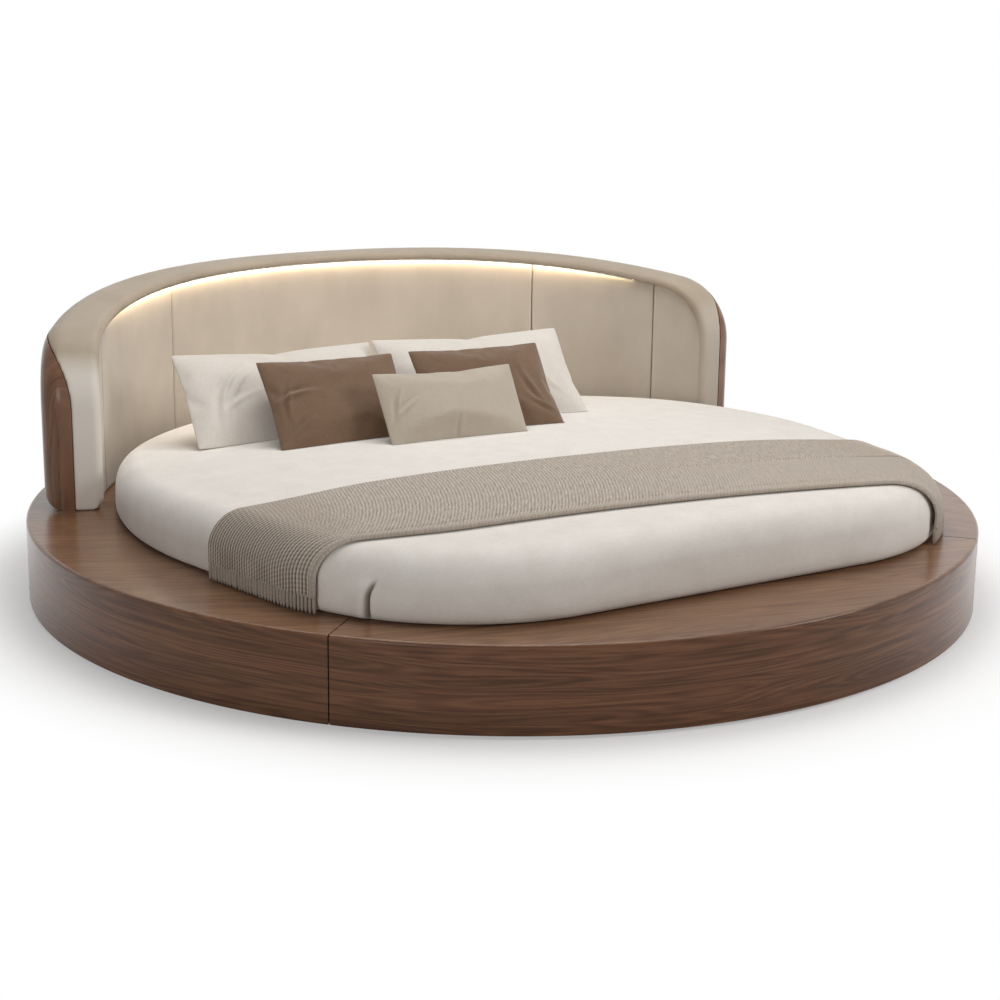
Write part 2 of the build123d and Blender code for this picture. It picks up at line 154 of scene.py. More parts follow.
# Pillows: across, up, front bulge, back bulge, x and y of the foot edge, lean back in degrees
PILLOW_SKEW = math.radians(-6)
PILLOW_SINK = 0.016
PILLOW_DRAW = 0.50
PILLOW_TOP_DRAW = 0.24
PILLOW_FOOT_DRAW = 0.08
PILLOW_PRESSURE = 3.5
PILLOW_FRAMES = 24
CASE_CELLS = 44
CASE_GAP = 0.004
FOLD_STRENGTH = 1.4
FOLD_BEND = 2.2
FOLD_EDGE_SHARE = 0.3
PILLOWS = {
    "pillow_white_left": (0.650, 0.355, 0.060, 0.024, -0.518, 0.308, 47),
    "pillow_white_right": (0.650, 0.355, 0.060, 0.024, 0.103, 0.194, 47),
    "cushion_brown_left": (0.440, 0.320, 0.042, 0.022, -0.438, 0.138, 44),
    "cushion_brown_right": (0.440, 0.320, 0.042, 0.022, 0.026, 0.046, 44),
    "cushion_beige": (0.455, 0.250, 0.048, 0.016, -0.150, -0.010, 38),
}


# Shader helpers

def srgb(red, green, blue):
    """A colour given as 0 to 255 screen values, as linear values with alpha."""
    values = []
    for level in (red, green, blue):
        share = level / 255
        values.append(share / 12.92 if share <= 0.04045 else ((share + 0.055) / 1.055) ** 2.4)
    return (*values, 1)


class Shader:
    """A material whose nodes are added by short calls."""

    def __init__(self, name):
        self.material = bpy.data.materials.new(name)
        self.material.use_nodes = True
        self.tree = self.material.node_tree
        self.surface = self.tree.nodes["Principled BSDF"]

    def link(self, source, socket):
        self.tree.links.new(source, socket)

    def feed(self, socket, value):
        if isinstance(value, bpy.types.NodeSocket):
            self.link(value, socket)
        else:
            socket.default_value = value

    def add(self, kind, inputs=None, **settings):
        node = self.tree.nodes.new(kind)
        for key, value in settings.items():
            setattr(node, key, value)
        for key, value in (inputs or {}).items():
            self.feed(node.inputs[key], value)
        return node

    def math(self, operation, first, second=0.0, third=0.0):
        node = self.add("ShaderNodeMath", {0: first, 1: second, 2: third}, operation=operation)
        return node.outputs[0]

    def place(self):
        return self.add("ShaderNodeTexCoord").outputs["Object"]

    def attribute(self, name):
        return self.add("ShaderNodeAttribute", attribute_name=name).outputs["Vector"]

    def split(self, vector):
        return self.add("ShaderNodeSeparateXYZ", {0: vector}).outputs

    def join(self, x, y, z):
        return self.add("ShaderNodeCombineXYZ", {0: x, 1: y, 2: z}).outputs[0]

    def times(self, first, second):
        return self.math("MULTIPLY", first, second)

    def reach(self, x, y):
        """Distance from the middle of the bed."""
        return self.math("SQRT", self.math("ADD", self.times(x, x), self.times(y, y)))

    def round_place(self, radius):
        """Place wrapped flat: along the curve, radius and height."""
        x, y, z = self.split(self.place())
        return self.times(self.math("ARCTAN2", y, x), radius), self.reach(x, y), z

    def mapped(self, value, low, high, first=0.0, last=1.0, kind="SMOOTHSTEP"):
        """A value taken from the range low to high to the range first to last, and held at its ends."""
        inputs = {0: value, 1: low, 2: high, 3: first, 4: last}
        return self.add("ShaderNodeMapRange", inputs, interpolation_type=kind).outputs[0]

    def noise(self, vector, scale, detail=3.0, roughness=0.5, distortion=0.0):
        inputs = {"Vector": vector, "Scale": scale, "Detail": detail, "Roughness": roughness,
                  "Distortion": distortion}
        return self.add("ShaderNodeTexNoise", inputs).outputs["Fac"]

    def wave(self, coordinate, pitch, shift=0.0):
        """A sine between 0 and 1 along a coordinate."""
        turns = self.math("MULTIPLY_ADD", coordinate, 2 * math.pi / pitch, shift)
        return self.math("MULTIPLY_ADD", self.math("SINE", turns), 0.5, 0.5)

    def ramp(self, factor, stops):
        node = self.add("ShaderNodeValToRGB", {0: factor})
        elements = node.color_ramp.elements
        while len(elements) < len(stops):
            elements.new(0.5)
        for element, (position, colour) in zip(elements, stops):
            element.position = position
            element.color = colour
        return node.outputs[0]

    def mix(self, factor, first, second, blend_type="MIX"):
        node = self.add("ShaderNodeMix", data_type="RGBA", blend_type=blend_type)
        self.feed(node.inputs["Factor"], factor)
        self.feed(node.inputs["A"], first)
        self.feed(node.inputs["B"], second)
        return node.outputs["Result"]

    def bump(self, height, distance, strength=1.0, before=None):
        inputs = {"Height": height, "Distance": distance, "Strength": strength}
        if before:
            inputs["Normal"] = before
        return self.add("ShaderNodeBump", inputs).outputs[0]

    def finish(self, **inputs):
        for key, value in inputs.items():
            self.feed(self.surface.inputs[key.replace("_", " ")], value)
        return self.material


# Wood

WALNUT_DECK = (srgb(94, 63, 42), srgb(113, 80, 55), srgb(131, 96, 68))
WALNUT_SIDE = (srgb(76, 47, 29), srgb(98, 64, 42), srgb(120, 81, 55))
WALNUT_HEAD = (srgb(110, 78, 58), srgb(124, 90, 69), srgb(138, 102, 80))


def walnut(shader, along, across, depth, colours, roughness):
    """Figured walnut: arched figure and fine streaks along the grain, pores and a satin lacquer."""
    def stretched(length_scale, width_scale):
        return shader.join(shader.times(along, length_scale), shader.times(across, width_scale), depth)

    dark, middle, light = colours
    figure = shader.noise(stretched(0.7, 9.0), 1.0, 2.0, 0.5, 0.25)
    arches = shader.wave(figure, 0.045)
    streak = shader.noise(stretched(1.2, 110.0), 1.0, 5.0, 0.62, 0.10)
    pores = shader.noise(stretched(12.0, 700.0), 1.0, 2.0, 0.6)
    blend = shader.math("ADD", shader.times(figure, 0.28), shader.times(streak, 0.60))
    blend = shader.math("MULTIPLY_ADD", arches, 0.12, blend)
    base = shader.ramp(blend, ((0.36, dark), (0.50, middle), (0.64, light)))
    speck = shader.ramp(pores, ((0.30, srgb(176, 170, 164)), (0.46, srgb(255, 255, 255))))
    colour = shader.mix(0.6, base, speck, "MULTIPLY")
    gloss = shader.math("MULTIPLY_ADD", streak, 0.14, roughness - 0.07)
    relief = shader.bump(pores, 0.0004, 0.3)
    return shader.finish(Base_Color=colour, Roughness=gloss, Normal=relief, Specular_IOR_Level=0.10,
                         Coat_Weight=1.0, Coat_Roughness=0.22, Coat_IOR=1.22)


def walnut_fascia():
    shader = Shader("walnut_fascia")
    arc, reach, z = shader.round_place(PLATFORM_RADIUS)
    return walnut(shader, arc, z, reach, WALNUT_SIDE, 0.42)


def walnut_deck(side):
    """Straight grain, one direction to each module."""
    shader = Shader(f"walnut_deck_{side}")
    turn = {"front": 14, "right": 60, "rear": 4, "left": 26}[side]
    turned = shader.add("ShaderNodeVectorRotate", {"Vector": shader.place(), "Angle": math.radians(turn)},
                        rotation_type="Z_AXIS").outputs[0]
    x, y, z = shader.split(turned)
    return walnut(shader, x, y, z, WALNUT_DECK, 0.40)


def walnut_headboard():
    shader = Shader("walnut_headboard")
    arc, reach, z = shader.round_place(PLATFORM_RADIUS)
    return walnut(shader, z, arc, reach, WALNUT_HEAD, 0.38)


def plain_wood(name, dark, light, layers=False):
    shader = Shader(name)
    x, y, z = shader.split(shader.place())
    stretched = shader.join(shader.times(x, 3.0), shader.times(y, 3.0), shader.times(z, 70.0))
    grain = shader.noise(stretched, 1.0, 4.0, 0.6, 0.4)
    base = shader.ramp(grain, ((0.35, dark), (0.65, light)))
    if layers:
        stripe = shader.wave(z, 0.0032)
        base = shader.mix(shader.times(stripe, 0.25), base, dark)
    return shader.finish(Base_Color=base, Roughness=0.62, Normal=shader.bump(grain, 0.0004, 0.4))


# Metals and plastics

def brushed_metal(name, colour, roughness):
    shader = Shader(name)
    streak = shader.noise(shader.place(), 900.0, 3.0, 0.6)
    tone = shader.mix(streak, colour, srgb(120, 122, 126))
    rough = shader.math("MULTIPLY_ADD", streak, 0.2, roughness - 0.1)
    relief = shader.bump(streak, 0.0001, 0.3)
    return shader.finish(Base_Color=tone, Metallic=1.0, Roughness=rough, Normal=relief)


def moulded(name, dark, light, roughness, grain):
    shader = Shader(name)
    speck = shader.noise(shader.place(), grain, 3.0, 0.6)
    tone = shader.ramp(speck, ((0.3, dark), (0.7, light)))
    return shader.finish(Base_Color=tone, Roughness=roughness, Normal=shader.bump(speck, 0.0002, 0.4))


def lit_strip(name, colour, strength):
    """Lit from within, dimmer towards both ends of the curve."""
    shader = Shader(name)
    x, y = shader.split(shader.place())[:2]
    cloud = shader.noise(shader.place(), 220.0, 2.0)
    tone = shader.mix(cloud, colour, srgb(255, 246, 226))
    angle = shader.math("ARCTAN2", shader.math("ABSOLUTE", x), y)
    fade = shader.mapped(angle, *LIGHT_FADE, 1.0, 0.04)
    return shader.finish(Base_Color=tone, Roughness=0.5, Emission_Color=tone,
                         Emission_Strength=shader.times(fade, strength))


# Cloth

def woven(place, dark, light, depth, sheen=0.25, mottle=0.3):
    """Plain woven cloth: short slubs along both threads and a soft mottled tone."""
    mottle_scale, slub_scale, slub_stretch = 14.0, 420.0, 0.18
    shader, (across, up, out) = place
    cloud = shader.noise(shader.join(across, up, out), mottle_scale, 4.0, 0.6)
    warp = shader.noise(shader.join(shader.times(across, slub_stretch), up, out), slub_scale, 2.0, 0.6)
    weft = shader.noise(shader.join(across, shader.times(up, slub_stretch), out), slub_scale, 2.0, 0.6)
    threads = shader.math("MULTIPLY_ADD", warp, 0.5, shader.times(weft, 0.5))
    tone = shader.math("ADD", shader.times(cloud, mottle), shader.times(threads, 1 - mottle))
    base = shader.ramp(tone, ((0.34, dark), (0.64, light)))
    return shader.finish(Base_Color=base, Roughness=0.88, Sheen_Weight=sheen, Sheen_Roughness=0.45,
                         Specular_IOR_Level=0.22, Normal=shader.bump(threads, depth, 0.6))


def flat_place(name):
    """Threads laid in the plane of the cloth, which stands along the height of its own object."""
    shader = Shader(name)
    x, y, z = shader.split(shader.place())
    return shader, (x, z, y)


def level_place(name):
    """Threads laid level, along and across the bed."""
    shader = Shader(name)
    return shader, tuple(shader.split(shader.place()))


def upholstery(name, dark, light, painted_end_highlight):
    """Smooth padded cloth in two close tones, with a painted highlight that makes it paler down the ends of
    the headboard, most on the left end.
    """
    shader = Shader(name)
    arc, reach, z = shader.round_place(PANEL_RADIUS)
    cloud = shader.noise(shader.join(arc, shader.times(z, 0.6), reach), 7.0, 3.0, 0.55)
    grain = shader.noise(shader.join(arc, z, reach), 520.0, 3.0, 0.65)
    tone = shader.math("ADD", shader.times(cloud, 0.55), shader.times(grain, 0.45))
    base = shader.ramp(tone, ((0.36, dark), (0.64, light)))
    # Painted highlight: towards the ends of the headboard the colour turns to the pale end tone, strongly on
    # the left end and weakly on the right
    x, y = shader.split(shader.place())[:2]
    lean = shader.math("DIVIDE", y, reach)
    end = shader.mapped(lean, 0.420, 0.372)
    share = shader.mapped(x, -0.3, 0.3, 0.95, 0.35, "LINEAR")
    colour = shader.mix(shader.times(end, share), base, painted_end_highlight)
    return shader.finish(Base_Color=colour, Roughness=0.62, Sheen_Weight=0.3, Sheen_Roughness=0.4,
                         Specular_IOR_Level=0.35, Normal=shader.bump(grain, 0.0004, 0.5))


def knitted():
    """Ribbed knit: slanting stitches on the bed, deep ribs where it hangs, calmer where smooth; the hollows
    of its stitches take painted shade.
    """
    shader = Shader("taupe_knit")
    across, along, smooth = shader.split(shader.attribute("flat_place"))
    hanging = shader.mapped(shader.math("ABSOLUTE", along), *HANG_FADE)
    wobble = shader.noise(shader.join(across, along, smooth), 60.0, 2.0, 0.5)
    slant = shader.math("MULTIPLY_ADD", wobble, 0.008, shader.math("MULTIPLY_ADD", across, -0.27, along))
    stroke = shader.wave(slant, 0.0098)
    dash_place = shader.join(shader.times(slant, 190.0), shader.times(across, 26.0), smooth)
    dash = shader.noise(dash_place, 1.0, 2.0, 0.6)
    level = shader.math("MULTIPLY_ADD", stroke, 0.34, shader.times(dash, 0.82))
    rib = shader.wave(across, RIB_PITCH, math.pi / 2)
    stitch = shader.wave(shader.math("MULTIPLY_ADD", across, 0.75, along), 0.0115)
    hung = shader.math("MULTIPLY_ADD", rib, 0.80, shader.times(stitch, 0.20))
    height = shader.math("ADD", level, shader.times(shader.math("SUBTRACT", hung, level), hanging))
    calm_height = 0.62
    calm = shader.times(shader.math("SUBTRACT", calm_height, height), smooth)
    height = shader.math("ADD", height, calm)
    yarn = shader.noise(shader.join(across, shader.times(along, 0.6), smooth), 340.0, 3.0, 0.7)
    # Partly painted shade: the low parts of the stitch relief take the darkest colours, over the yarn's own
    # uneven tone
    tone = shader.math("MULTIPLY_ADD", yarn, 0.40, shader.times(height, 0.60))
    base = shader.ramp(tone, ((0.20, srgb(88, 77, 67)), (0.50, srgb(162, 149, 136)),
                              (0.78, srgb(204, 193, 180))))
    relief = shader.math("MULTIPLY_ADD", yarn, 0.35, height)
    return shader.finish(Base_Color=base, Roughness=0.95, Sheen_Weight=0.25, Sheen_Roughness=0.5,
                         Specular_IOR_Level=0.15, Normal=shader.bump(relief, 0.0018, 0.9))


def fitted_sheet():
    """The cover's cloth, with painted shade darkening it down in its tuck."""
    place = level_place("white_cover")
    shader = place[0]
    material = woven(place, srgb(216, 209, 201), srgb(230, 225, 218), 0.0004, mottle=0.4)
    # Painted shade: the tuck_shade attribute darkens the cloth along the fold of the tuck
    shade = shader.add("ShaderNodeAttribute", attribute_name="tuck_shade").outputs["Fac"]
    base = shader.surface.inputs["Base Color"].links[0].from_socket
    shader.finish(Base_Color=shader.mix(shade, base, srgb(120, 106, 94)))
    return material


def foam_block():
    shader = Shader("foam")
    inputs = {"Vector": shader.place(), "Scale": 420.0}
    cells = shader.add("ShaderNodeTexVoronoi", inputs).outputs["Distance"]
    tone = shader.ramp(cells, ((0.1, srgb(196, 188, 170)), (0.6, srgb(232, 226, 210))))
    return shader.finish(Base_Color=tone, Roughness=0.95, Normal=shader.bump(cells, 0.0008, 0.6))


def make_materials():
    # The third tone of each is its painted end highlight: pale for the rim, the panel's own light tone for
    # the panels
    rim = (srgb(154, 139, 120), srgb(170, 155, 136), srgb(226, 219, 209))
    panel = (srgb(186, 176, 163), srgb(201, 191, 178), srgb(201, 191, 178))
    return {
        "walnut_fascia": walnut_fascia(),
        "walnut_headboard": walnut_headboard(),
        "plywood": plain_wood("plywood", srgb(168, 138, 98), srgb(206, 176, 132), layers=True),
        "pine": plain_wood("pine", srgb(188, 152, 104), srgb(222, 190, 142)),
        "birch_slat": plain_wood("birch_slat", srgb(204, 176, 132), srgb(228, 204, 164)),
        "zinc_steel": brushed_metal("zinc_steel", srgb(190, 192, 195), 0.35),
        "aluminium_channel": brushed_metal("aluminium_channel", srgb(205, 206, 208), 0.40),
        "black_steel": moulded("black_steel", srgb(24, 24, 25), srgb(40, 40, 42), 0.5, 1400.0),
        "black_plastic": moulded("black_plastic", srgb(22, 22, 23), srgb(36, 36, 38), 0.55, 1800.0),
        "black_lead": moulded("black_lead", srgb(18, 18, 18), srgb(34, 34, 34), 0.65, 2200.0),
        "led_strip": lit_strip("led_strip", srgb(255, 214, 150), 3.0),
        "led_diffuser": lit_strip("led_diffuser", srgb(255, 216, 158), 24.0),
        "foam": foam_block(),
        "greige_upholstery": upholstery("greige_upholstery", *rim),
        "greige_panel": upholstery("greige_panel", *panel),
        "white_cover": fitted_sheet(),
        "taupe_knit": knitted(),
        "white_linen": woven(flat_place("white_linen"), srgb(206, 197, 187), srgb(219, 212, 203), 0.0004),
        "brown_linen": woven(flat_place("brown_linen"), srgb(106, 82, 63), srgb(121, 96, 76), 0.0005, 0.35),
        "beige_linen": woven(flat_place("beige_linen"), srgb(172, 160, 145), srgb(184, 172, 157), 0.0005),
    }


MATERIALS = make_materials()


def dress(obj, material):
    obj.data.materials.clear()
    obj.data.materials.append(material)


def dress_frame():
    """Every solid carried over from the frame takes the finish of its slot."""
    for entry in frame["record"]["subparts"]:
        node, slot = entry["node"], entry["material_slot"]
        if slot == "walnut_deck":
            dress(frame["nodes"][node], walnut_deck(node.removeprefix("deck_")))
        else:
            dress(frame["nodes"][node], MATERIALS[slot])


# Mesh helpers

def add_object(name, data):
    obj = bpy.data.objects.new(name, data)
    bpy.context.scene.collection.objects.link(obj)
    return obj


def new_piece(name, vertices, faces, slot):
    mesh = bpy.data.meshes.new(name)
    mesh.from_pydata([tuple(v) for v in vertices], [], [tuple(f) for f in faces])
    mesh.update()
    mesh.shade_smooth()
    obj = add_object(name, mesh)
    dress(obj, MATERIALS[slot])
    return obj


def settle(obj, body, slot, *nodes):
    """Gives a piece its body, and hides the solids that it stands for."""
    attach(obj, body)
    if nodes:
        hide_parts(*nodes)
    return obj


def apply_modifiers(obj):
    """The evaluated mesh takes the place of the modifiers."""
    graph = bpy.context.evaluated_depsgraph_get()
    mesh = bpy.data.meshes.new_from_object(obj.evaluated_get(graph))
    obj.modifiers.clear()
    obj.data = mesh
    mesh.shade_smooth()


def grid_faces(rows, columns, start=0, closed=False, flip=False):
    """Quads between rows of columns points each; closed joins the last column to the first."""
    faces = []
    for row in range(rows - 1):
        for column in range(columns if closed else columns - 1):
            after = (column + 1) % columns
            quad = (
                start + row * columns + column, start + row * columns + after,
                start + (row + 1) * columns + after, start + (row + 1) * columns + column,
            )
            faces.append(quad[::-1] if flip else quad)
    return faces


def get_points(obj):
    return np.array([vertex.co for vertex in obj.data.vertices])


def set_points(obj, points):
    obj.data.vertices.foreach_set("co", points.ravel())


def set_flat_places(obj, places):
    """Keeps where each point lies in the flat cloth, for the knit."""
    layer = obj.data.attributes.new("flat_place", "FLOAT_VECTOR", "POINT")
    layer.data.foreach_set("vector", np.array(places, np.float32).ravel())


def wander(x, y, z, seed):
    """Smooth noise between -1 and 1."""
    return noise.noise(Vector((x + seed * 7.3, y - seed * 3.1, z + seed)))


# Mattress form

def outline_points(step_at):
    """Points and outward normals around the mattress's plan, anticlockwise from the middle of the head."""
    middle = Vector((FOOT_HALF_WIDTH - FOOT_CORNER, FOOT_Y + FOOT_CORNER))
    lean = math.atan2(middle.y, middle.x) + math.acos((HEAD_RADIUS - FOOT_CORNER) / middle.length)
    outward = Vector((math.cos(lean), math.sin(lean)))
    side_top, side_low = outward * HEAD_RADIUS, middle + outward * FOOT_CORNER
    left = Vector((-1, 1))
    arcs = [
        (Vector((0, 0)), HEAD_RADIUS, math.pi / 2, math.pi - lean),
        (side_top * left, side_low * left, None, None),
        (middle * left, FOOT_CORNER, math.pi - lean, 1.5 * math.pi),
        (Vector((-middle.x, FOOT_Y)), Vector((middle.x, FOOT_Y)), None, None),
        (middle, FOOT_CORNER, -math.pi / 2, lean),
        (side_low, side_top, None, None),
        (Vector((0, 0)), HEAD_RADIUS, lean, math.pi / 2),
    ]
    tiny = 1e-6
    points, normals = [], []
    for first, second, start, end in arcs:
        if start is None:
            length = (second - first).length
            direction = (second - first) / length
            walked = 0.0
            while walked < length - tiny:
                point = first + direction * walked
                points.append(point)
                normals.append(Vector((direction.y, -direction.x)))
                walked += min(step_at(point), length - walked)
        else:
            angle = start
            while angle < end - tiny:
                normal = Vector((math.cos(angle), math.sin(angle)))
                point = first + normal * second
                points.append(point)
                normals.append(normal)
                angle += min(step_at(point) / second, end - angle)
    return np.array(points), np.array(normals)


def crown(x, y):
    """Height lost at a place, away from the highest point of the crown."""
    away = x ** 2 + (y - CROWN_MIDDLE_Y) ** 2
    return CROWN_RADIUS - np.sqrt(CROWN_RADIUS ** 2 - away)


def smooth_step(low, high, value):
    share = np.clip((value - low) / (high - low), 0, 1)
    return share * share * (3 - 2 * share)


def far_side(x, y):
    """1 along the far right edge, where the top falls away, fading to 0 around it."""
    angle = np.degrees(np.arctan2(y, x))
    return smooth_step(*FAR_START_DEGREES, angle) * (1 - smooth_step(*FAR_END_DEGREES, angle))


def shoulder_at(x, y):
    """How far the rounded edge reaches in: tighter towards the head, widest at the far right."""
    side = SHOULDER + (HEAD_SHOULDER - SHOULDER) * smooth_step(*SHOULDER_FADE, y)
    return side + (FAR_SHOULDER - side) * far_side(x, y)


def top_fall(x, y, inside):
    """Height lost by the crown, and by the slack head and right edges, this far inside the plan."""
    slack = FAR_FALL * far_side(x, y) * (1 - smooth_step(*FAR_FADE, inside))
    slack = slack + HEAD_FALL * smooth_step(*HEAD_FADE, y)
    slack = slack + RIGHT_FALL * smooth_step(*RIGHT_FADE, RIGHT_WAY[0] * x + RIGHT_WAY[1] * y)
    return crown(x, y) + slack


PLAN, PLAN_NORMALS = outline_points(lambda point: PLAN_STEP)


def inside_distance(x, y):
    """How far each place lies inside the mattress's plan; negative outside."""
    places = np.stack([np.ravel(x), np.ravel(y)], axis=1)
    result = np.empty(len(places))
    batch = 4000
    for start in range(0, len(places), batch):
        part = places[start:start + batch]
        offset = part[:, None, :] - PLAN[None, :, :]
        nearest = (offset ** 2).sum(axis=2).argmin(axis=1)
        chosen = offset[np.arange(len(part)), nearest]
        result[start:start + batch] = -(chosen * PLAN_NORMALS[nearest]).sum(axis=1)
    return result.reshape(np.shape(x))


def mattress_height(x, y, lift=0.0, inside=None):
    """Height of the mattress's top over a place, raised by lift all round."""
    if inside is None:
        inside = inside_distance(x, y)
    top = TOP_Z - top_fall(x, y, inside)
    reach = shoulder_at(x, y)
    drop = np.minimum(reach, top - DECK_TOP - BASE_ROUND - LEAST_SIDE) + lift
    short = np.clip(reach - inside, 0, reach + lift) / (reach + lift)
    return top + lift - drop * (1 - np.sqrt(np.maximum(1 - short ** 2, 0)))


# The tuck at the mattress's foot corner: its place, the way along the side to the head, and its heights
TUCK_PLACE = Vector((-0.9355, -0.8825))
TUCK_ALONG = Vector((-0.625, 0.781))
TUCK_BEND_Z = 0.293
TUCK_TOP_Z = 0.345
TUCK_WIDTH = 0.0048
TUCK_DEPTH = 0.019
TUCK_REACH = 0.25
TUCK_BEND = 0.026
TUCK_HEAD_FADE = (TUCK_TOP_Z - 0.028, TUCK_TOP_Z + 0.004)
TUCK_FOOT_FADE = (0.234, 0.246)
TUCK_BULGE, TUCK_BULGE_AT, TUCK_BULGE_WIDTH = 0.0085, 0.019, 0.018
TUCK_PULL, TUCK_PULL_AT, TUCK_PULL_WIDTH = -0.003, -0.018, 0.022


def tuck(x, y, z):
    """How far the cover stands out beside its tuck and sinks in along it, and how deep in the tuck it is,
    which sets the painted shade there.
    """
    offset = Vector((x, y)) - TUCK_PLACE
    if offset.length > TUCK_REACH:
        return 0.0, 0.0
    above = max(0.0, z - TUCK_BEND_Z) / (TUCK_TOP_Z - TUCK_BEND_Z)
    aside = offset.dot(TUCK_ALONG) + TUCK_BEND * above ** 1.6
    fade = float((1 - smooth_step(*TUCK_HEAD_FADE, z)) * smooth_step(*TUCK_FOOT_FADE, z))
    bulge = TUCK_BULGE * math.exp(-((aside - TUCK_BULGE_AT) / TUCK_BULGE_WIDTH) ** 2)
    pull = TUCK_PULL * math.exp(-((aside - TUCK_PULL_AT) / TUCK_PULL_WIDTH) ** 2)
    sunk = math.exp(-(aside / TUCK_WIDTH) ** 2)
    return fade * (bulge + pull - TUCK_DEPTH * sunk), fade * sunk


def mattress_rings(plan, normals, lift):
    """Rings of points from the top down the side to the base, for a skin that stands out by lift."""
    reach = shoulder_at(plan[:, 0], plan[:, 1])
    edge = plan - normals * reach[:, None]
    rings = []
    for share in np.linspace(0, 1, TOP_RINGS)[1:-1] ** 0.8:
        flat = edge * share + np.array([0, CROWN_MIDDLE_Y]) * (1 - share)
        rings.append(np.column_stack([flat, mattress_height(flat[:, 0], flat[:, 1], lift)]))
    for angle in np.linspace(0, math.pi / 2, SHOULDER_RINGS):
        inside = (reach + lift) * (1 - math.sin(angle)) - lift
        flat = plan - normals * inside[:, None]
        rings.append(np.column_stack([flat, mattress_height(flat[:, 0], flat[:, 1], lift, inside)]))
    side, top = rings[-1][:, :2], rings[-1][:, 2]
    low = DECK_TOP + BASE_ROUND
    for share in np.linspace(0, 1, SIDE_RINGS)[1:]:
        rings.append(np.column_stack([side, top + (low - top) * share]))
    base = BASE_ROUND + lift
    for angle in np.linspace(0, math.pi / 2, BASE_RINGS)[1:]:
        flat = side - normals * (base * (1 - math.cos(angle)))
        level = low - base * math.sin(angle) + CONTACT_GAP
        rings.append(np.column_stack([flat, np.full(len(plan), level)]))
    return rings


def ringed_piece(name, top, rings, slot):
    """A closed skin through rings of points, with one point at the top."""
    count = len(rings[0])
    faces = [(0, 1 + (i + 1) % count, 1 + i)[::-1] for i in range(count)]
    faces += grid_faces(len(rings), count, 1, closed=True, flip=True)
    last = 1 + (len(rings) - 1) * count
    faces.append(tuple(range(last, last + count))[::-1])
    obj = new_piece(name, [top] + [point for ring in rings for point in ring], faces, slot)
    fix_normals(obj)
    return obj


def make_mattress():
    """The mattress in its fitted sheet: crowned top, soft shoulders, gentle swells along the face."""
    def step(point):
        near = (point - TUCK_PLACE).length
        return next(length for within, length in COVER_STEPS if near < within)

    plan, normals = outline_points(step)
    shades = [0.0]
    rings = mattress_rings(plan, normals, 0.0)
    for row, ring in enumerate(rings):
        side = float(smooth_step(*SWELL_ROWS, row))
        for k, ((x, y, z), (nx, ny)) in enumerate(zip(ring, normals)):
            swell = BROAD_SWELL * wander(x * 2.4, y * 2.4, z * 2.2, 1)
            swell += FINE_SWELL * wander(x * 6, y * 6, z * 7, 2)
            bulge, shade = tuck(x, y, z)
            push = side * (swell - SIDE_DRAW) * float(smooth_step(*SIDE_FADE, z)) + bulge
            lift = (side - 1) * TOP_SWELL * (0.5 + 0.5 * wander(x * 3.2, y * 3.2, 0, 3))
            ring[k] = (x + nx * push, y + ny * push, z + lift)
            shades.append(shade)
    obj = ringed_piece("mattress", (0, CROWN_MIDDLE_Y, TOP_Z), rings, "white_cover")
    # The tuck's painted shade, kept on each point for the cover's material
    layer = obj.data.attributes.new("tuck_shade", "FLOAT", "POINT")
    layer.data.foreach_set("value", np.array(shades, np.float32))
    settle(obj, "mattress", "white_cover", "mattress_cover")


def make_core():
    """The foam inside the cover, in the cover's own form."""
    plan, normals = outline_points(lambda point: CORE_STEP)
    rings = mattress_rings(plan, normals, -CORE_INSET)
    obj = ringed_piece("mattress_foam", (0, CROWN_MIDDLE_Y, TOP_Z - CORE_INSET), rings, "foam")
    settle(obj, "mattress", "foam", "mattress_core")


def fix_normals(obj):
    """Turns every face outwards."""
    work = bmesh.new()
    work.from_mesh(obj.data)
    bmesh.ops.recalc_face_normals(work, faces=work.faces)
    work.to_mesh(obj.data)
    work.free()


# Throw

def throw_line(share):
    """Slope and height at x = 0 of a line across the bed, from the near edge at 0 to the far edge at 1."""
    near, far = math.tan(THROW_NEAR_SKEW), math.tan(THROW_FAR_SKEW)
    return near + (far - near) * share, THROW_NEAR_Y + (THROW_FAR_Y - THROW_NEAR_Y) * share


def draped_line(share, lift, hem_height, count):
    """Points along one line of the throw, from the left hem over the bed to the right hem."""
    slope, start = throw_line(share)
    gather = THROW_NEAR_GATHER + (THROW_FAR_GATHER - THROW_NEAR_GATHER) * share

    def line_at(x):
        return start + slope * x + gather * (1 - smooth_step(*GATHER_FADE, x))

    rough = np.linspace(-ROUGH_REACH, ROUGH_REACH, 261)
    covered = rough[inside_distance(rough, line_at(rough)) + lift > 0]
    left, right = covered[0], covered[-1]
    x = np.concatenate([
        np.arange(left - END_OVERRUN, left + END_BAND, END_STEP),
        np.arange(left + END_BAND, right - END_BAND, MIDDLE_STEP),
        np.arange(right - END_BAND, right + END_OVERRUN, END_STEP),
    ])
    inside = inside_distance(x, line_at(x))
    x, inside = x[inside + lift > 0], inside[inside + lift > 0]
    y = line_at(x)
    z = mattress_height(x, y, lift, inside)
    low = DECK_TOP + hem_height
    sides = []
    for end_x, end_y, end_z in ((x[0], y[0], z[0]), (x[-1], y[-1], z[-1])):
        steps = np.linspace(low, end_z, SIDE_POINTS)[:-1]
        sides.append(np.column_stack([np.full(len(steps), end_x), np.full(len(steps), end_y), steps]))
    path = np.vstack([sides[0], np.column_stack([x, y, z]), sides[1][::-1]])
    walked = np.concatenate([[0], np.cumsum(np.linalg.norm(np.diff(path, axis=0), axis=1))])
    even = np.linspace(0, walked[-1], count)
    return np.column_stack([np.interp(even, walked, path[:, k]) for k in range(3)]), even


